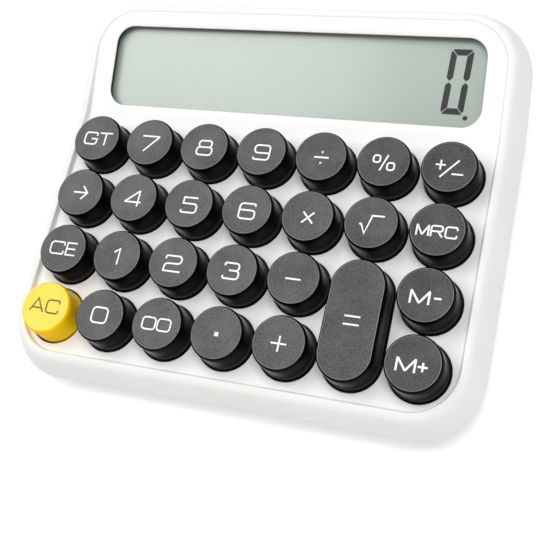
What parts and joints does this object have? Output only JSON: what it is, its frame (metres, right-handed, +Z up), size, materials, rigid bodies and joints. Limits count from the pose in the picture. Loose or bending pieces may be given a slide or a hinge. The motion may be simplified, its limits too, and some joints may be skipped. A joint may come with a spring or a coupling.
{
  "type": "desktop calculator",
  "caption": "Desktop calculator with round sprung keys in a recessed white deck, one tall equals key, a wide upturned display, rubber feet and a sliding battery door.",
  "frame": {"origin": "on the desk, below the middle of the body's outline", "axes": "+X to the right along the rows of keys, +Y towards the display end, +Z up"},
  "size_m": [0.1488, 0.1266, 0.0374],
  "materials": {
    "white_shell": "fine satin moulding",
    "white_base": "fine grain moulding",
    "black_cap": "satin moulding with a fine grain on the top",
    "yellow_cap": "satin moulding",
    "circuit_board": "solder mask with moulded switches",
    "clear_window": "polished clear sheet",
    "display_grey": "grey liquid crystal cell",
    "black_foam": "fine closed foam",
    "grey_rubber": "matt rubber",
    "bright_steel": "bright zinc and nickel plate",
    "cell_jacket": "plain film sleeve"
  },
  "bodies": {
    "housing": {"upper_housing": "white_shell", "lower_housing": "white_base", "key_board": "circuit_board", "display_board": "circuit_board", "display_holder": "white_base", "display_gasket": "black_foam", "display_lens": "clear_window", "display_glass": "display_grey", "display_connector": "grey_rubber", "battery_front": "cell_jacket", "battery_rear": "cell_jacket", "battery_contact_bridge": "bright_steel", "battery_contact_positive": "bright_steel", "battery_contact_negative": "bright_steel", "housing_screw_front_left": "bright_steel", "rubber_foot_front_left": "grey_rubber", "housing_screw_front_right": "bright_steel", "rubber_foot_front_right": "grey_rubber", "housing_screw_rear_left": "bright_steel", "rubber_foot_rear_left": "grey_rubber", "housing_screw_rear_right": "bright_steel", "rubber_foot_rear_right": "grey_rubber"},
    "key_grand_total": {"key_grand_total": "black_cap"},
    "key_seven": {"key_seven": "black_cap"},
    "key_eight": {"key_eight": "black_cap"},
    "key_nine": {"key_nine": "black_cap"},
    "key_divide": {"key_divide": "black_cap"},
    "key_percent": {"key_percent": "black_cap"},
    "key_sign_change": {"key_sign_change": "black_cap"},
    "key_backspace": {"key_backspace": "black_cap"},
    "key_four": {"key_four": "black_cap"},
    "key_five": {"key_five": "black_cap"},
    "key_six": {"key_six": "black_cap"},
    "key_multiply": {"key_multiply": "black_cap"},
    "key_square_root": {"key_square_root": "black_cap"},
    "key_memory_recall": {"key_memory_recall": "black_cap"},
    "key_clear_entry": {"key_clear_entry": "black_cap"},
    "key_one": {"key_one": "black_cap"},
    "key_two": {"key_two": "black_cap"},
    "key_three": {"key_three": "black_cap"},
    "key_minus": {"key_minus": "black_cap"},
    "key_equals": {"key_equals": "black_cap"},
    "key_memory_minus": {"key_memory_minus": "black_cap"},
    "key_all_clear": {"key_all_clear": "yellow_cap"},
    "key_zero": {"key_zero": "black_cap"},
    "key_double_zero": {"key_double_zero": "black_cap"},
    "key_point": {"key_point": "black_cap"},
    "key_plus": {"key_plus": "black_cap"},
    "key_memory_plus": {"key_memory_plus": "black_cap"},
    "battery_door": {"battery_door": "white_base"}
  },
  "joints": [
    {"name": "press_grand_total", "type": "slide", "parent": "housing", "child": "key_grand_total", "axis": [0, 0.0872, -0.9962], "range_m": [0, 0.0035], "stiffness_N_per_m": 150, "springref_m": -0.002},
    {"name": "press_seven", "type": "slide", "parent": "housing", "child": "key_seven", "axis": [0, 0.0872, -0.9962], "range_m": [0, 0.0035], "stiffness_N_per_m": 150, "springref_m": -0.002},
    {"name": "press_eight", "type": "slide", "parent": "housing", "child": "key_eight", "axis": [0, 0.0872, -0.9962], "range_m": [0, 0.0035], "stiffness_N_per_m": 150, "springref_m": -0.002},
    {"name": "press_nine", "type": "slide", "parent": "housing", "child": "key_nine", "axis": [0, 0.0872, -0.9962], "range_m": [0, 0.0035], "stiffness_N_per_m": 150, "springref_m": -0.002},
    {"name": "press_divide", "type": "slide", "parent": "housing", "child": "key_divide", "axis": [0, 0.0872, -0.9962], "range_m": [0, 0.0035], "stiffness_N_per_m": 150, "springref_m": -0.002},
    {"name": "press_percent", "type": "slide", "parent": "housing", "child": "key_percent", "axis": [0, 0.0872, -0.9962], "range_m": [0, 0.0035], "stiffness_N_per_m": 150, "springref_m": -0.002},
    {"name": "press_sign_change", "type": "slide", "parent": "housing", "child": "key_sign_change", "axis": [0, 0.0872, -0.9962], "range_m": [0, 0.0035], "stiffness_N_per_m": 150, "springref_m": -0.002},
    {"name": "press_backspace", "type": "slide", "parent": "housing", "child": "key_backspace", "axis": [0, 0.0872, -0.9962], "range_m": [0, 0.0035], "stiffness_N_per_m": 150, "springref_m": -0.002},
    {"name": "press_four", "type": "slide", "parent": "housing", "child": "key_four", "axis": [0, 0.0872, -0.9962], "range_m": [0, 0.0035], "stiffness_N_per_m": 150, "springref_m": -0.002},
    {"name": "press_five", "type": "slide", "parent": "housing", "child": "key_five", "axis": [0, 0.0872, -0.9962], "range_m": [0, 0.0035], "stiffness_N_per_m": 150, "springref_m": -0.002},
    {"name": "press_six", "type": "slide", "parent": "housing", "child": "key_six", "axis": [0, 0.0872, -0.9962], "range_m": [0, 0.0035], "stiffness_N_per_m": 150, "springref_m": -0.002},
    {"name": "press_multiply", "type": "slide", "parent": "housing", "child": "key_multiply", "axis": [0, 0.0872, -0.9962], "range_m": [0, 0.0035], "stiffness_N_per_m": 150, "springref_m": -0.002},
    {"name": "press_square_root", "type": "slide", "parent": "housing", "child": "key_square_root", "axis": [0, 0.0872, -0.9962], "range_m": [0, 0.0035], "stiffness_N_per_m": 150, "springref_m": -0.002},
    {"name": "press_memory_recall", "type": "slide", "parent": "housing", "child": "key_memory_recall", "axis": [0, 0.0872, -0.9962], "range_m": [0, 0.0035], "stiffness_N_per_m": 150, "springref_m": -0.002},
    {"name": "press_clear_entry", "type": "slide", "parent": "housing", "child": "key_clear_entry", "axis": [0, 0.0872, -0.9962], "range_m": [0, 0.0035], "stiffness_N_per_m": 150, "springref_m": -0.002},
    {"name": "press_one", "type": "slide", "parent": "housing", "child": "key_one", "axis": [0, 0.0872, -0.9962], "range_m": [0, 0.0035], "stiffness_N_per_m": 150, "springref_m": -0.002},
    {"name": "press_two", "type": "slide", "parent": "housing", "child": "key_two", "axis": [0, 0.0872, -0.9962], "range_m": [0, 0.0035], "stiffness_N_per_m": 150, "springref_m": -0.002},
    {"name": "press_three", "type": "slide", "parent": "housing", "child": "key_three", "axis": [0, 0.0872, -0.9962], "range_m": [0, 0.0035], "stiffness_N_per_m": 150, "springref_m": -0.002},
    {"name": "press_minus", "type": "slide", "parent": "housing", "child": "key_minus", "axis": [0, 0.0872, -0.9962], "range_m": [0, 0.0035], "stiffness_N_per_m": 150, "springref_m": -0.002},
    {"name": "press_equals", "type": "slide", "parent": "housing", "child": "key_equals", "axis": [0, 0.0872, -0.9962], "range_m": [0, 0.0035], "stiffness_N_per_m": 150, "springref_m": -0.002},
    {"name": "press_memory_minus", "type": "slide", "parent": "housing", "child": "key_memory_minus", "axis": [0, 0.0872, -0.9962], "range_m": [0, 0.0035], "stiffness_N_per_m": 150, "springref_m": -0.002},
    {"name": "press_all_clear", "type": "slide", "parent": "housing", "child": "key_all_clear", "axis": [0, 0.0872, -0.9962], "range_m": [0, 0.0035], "stiffness_N_per_m": 150, "springref_m": -0.002},
    {"name": "press_zero", "type": "slide", "parent": "housing", "child": "key_zero", "axis": [0, 0.0872, -0.9962], "range_m": [0, 0.0035], "stiffness_N_per_m": 150, "springref_m": -0.002},
    {"name": "press_double_zero", "type": "slide", "parent": "housing", "child": "key_double_zero", "axis": [0, 0.0872, -0.9962], "range_m": [0, 0.0035], "stiffness_N_per_m": 150, "springref_m": -0.002},
    {"name": "press_point", "type": "slide", "parent": "housing", "child": "key_point", "axis": [0, 0.0872, -0.9962], "range_m": [0, 0.0035], "stiffness_N_per_m": 150, "springref_m": -0.002},
    {"name": "press_plus", "type": "slide", "parent": "housing", "child": "key_plus", "axis": [0, 0.0872, -0.9962], "range_m": [0, 0.0035], "stiffness_N_per_m": 150, "springref_m": -0.002},
    {"name": "press_memory_plus", "type": "slide", "parent": "housing", "child": "key_memory_plus", "axis": [0, 0.0872, -0.9962], "range_m": [0, 0.0035], "stiffness_N_per_m": 150, "springref_m": -0.002},
    {"name": "slide_battery_door", "type": "slide", "parent": "housing", "child": "battery_door", "axis": [0, 1, 0], "range_m": [0, 0.026]}
  ]
}
